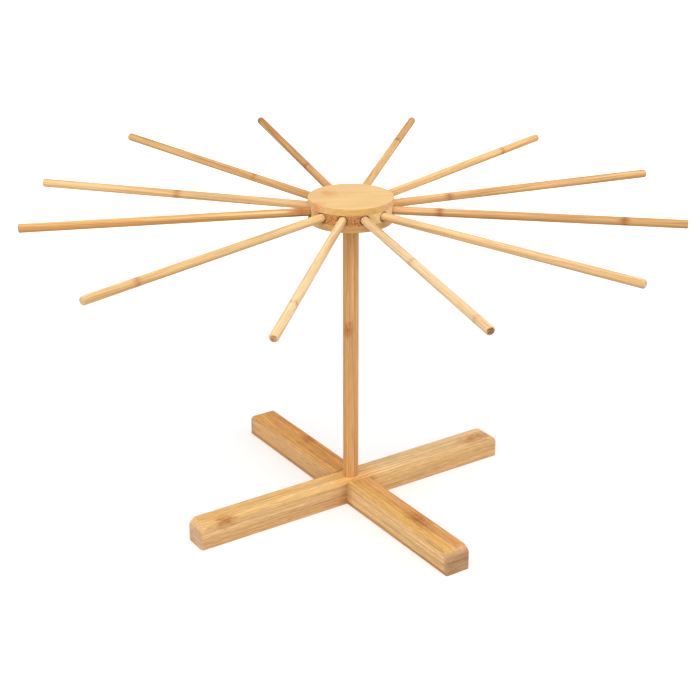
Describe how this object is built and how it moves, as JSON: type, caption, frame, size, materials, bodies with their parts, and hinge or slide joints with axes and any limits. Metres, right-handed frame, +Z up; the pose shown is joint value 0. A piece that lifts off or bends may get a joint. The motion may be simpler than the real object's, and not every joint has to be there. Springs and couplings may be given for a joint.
{
  "type": "pasta drying rack",
  "caption": "Bamboo pasta drying rack: push-in rods radiate from a small round hub that turns on a post over a half-lapped cross base, and lift out for storage.",
  "frame": {"origin": "on the post's axis, at the surface that the cross base stands on", "axes": "+Z up the post, +X along the upper base bar, +Y along the lower base bar"},
  "size_m": [0.4628, 0.4623, 0.2435],
  "materials": {
    "bamboo_bars": "oiled, sanded",
    "bamboo_post": "oiled, sanded",
    "bamboo_hub": "oiled, sanded",
    "bamboo_rods": "oiled, sanded",
    "screw_steel": "zinc plated"
  },
  "bodies": {
    "base": {"lower_base_bar": "bamboo_bars", "upper_base_bar": "bamboo_bars", "post": "bamboo_post", "post_screw": "screw_steel"},
    "hub": {"hub_bottom_ply": "bamboo_hub", "hub_core_ply": "bamboo_hub", "hub_top_ply": "bamboo_hub"},
    "rod_01": {"drying_rod_01": "bamboo_rods"},
    "rod_02": {"drying_rod_02": "bamboo_rods"},
    "rod_03": {"drying_rod_03": "bamboo_rods"},
    "rod_04": {"drying_rod_04": "bamboo_rods"},
    "rod_05": {"drying_rod_05": "bamboo_rods"},
    "rod_06": {"drying_rod_06": "bamboo_rods"},
    "rod_07": {"drying_rod_07": "bamboo_rods"},
    "rod_08": {"drying_rod_08": "bamboo_rods"},
    "rod_09": {"drying_rod_09": "bamboo_rods"},
    "rod_10": {"drying_rod_10": "bamboo_rods"},
    "rod_11": {"drying_rod_11": "bamboo_rods"},
    "rod_12": {"drying_rod_12": "bamboo_rods"}
  },
  "joints": [
    {"name": "hub_turn", "type": "hinge", "parent": "base", "child": "hub", "pos_m": [0, 0, 0.2349], "axis": [0, 0, 1], "continuous": true},
    {"name": "rod_01_pull", "type": "slide", "parent": "hub", "child": "rod_01", "axis": [0.961, 0.2762, 0.0129], "range_m": [-0.00408, 0.0162]},
    {"name": "rod_02_pull", "type": "slide", "parent": "hub", "child": "rod_02", "axis": [0.725, 0.6886, 0.0129], "range_m": [-0.00969, 0.0105]},
    {"name": "rod_03_pull", "type": "slide", "parent": "hub", "child": "rod_03", "axis": [0.2587, 0.9656, 0.0257], "range_m": [-0.00612, 0.0141]},
    {"name": "rod_04_pull", "type": "slide", "parent": "hub", "child": "rod_04", "axis": [-0.2511, 0.967, 0.0437], "range_m": [-0.00612, 0.0141]},
    {"name": "rod_05_pull", "type": "slide", "parent": "hub", "child": "rod_05", "axis": [-0.6996, 0.7142, 0.0206], "range_m": [0, 0.0202]},
    {"name": "rod_06_pull", "type": "slide", "parent": "hub", "child": "rod_06", "axis": [-0.963, 0.266, 0.0437], "range_m": [-0.00051, 0.0197]},
    {"name": "rod_07_pull", "type": "slide", "parent": "hub", "child": "rod_07", "axis": [-0.9685, -0.2489, -0.0026], "range_m": [-0.0102, 0.01]},
    {"name": "rod_08_pull", "type": "slide", "parent": "hub", "child": "rod_08", "axis": [-0.6997, -0.7143, -0.0129], "range_m": [-0.0051, 0.0151]},
    {"name": "rod_09_pull", "type": "slide", "parent": "hub", "child": "rod_09", "axis": [-0.2464, -0.9692, -0.0051], "range_m": [-0.00765, 0.0126]},
    {"name": "rod_10_pull", "type": "slide", "parent": "hub", "child": "rod_10", "axis": [0.2638, -0.9646, 0.0051], "range_m": [-0.00714, 0.0131]},
    {"name": "rod_11_pull", "type": "slide", "parent": "hub", "child": "rod_11", "axis": [0.7089, -0.7052, 0.0129], "range_m": [-0.00255, 0.0177]},
    {"name": "rod_12_pull", "type": "slide", "parent": "hub", "child": "rod_12", "axis": [0.9672, -0.2538, 0.0129], "range_m": [-0.00408, 0.0162]}
  ]
}
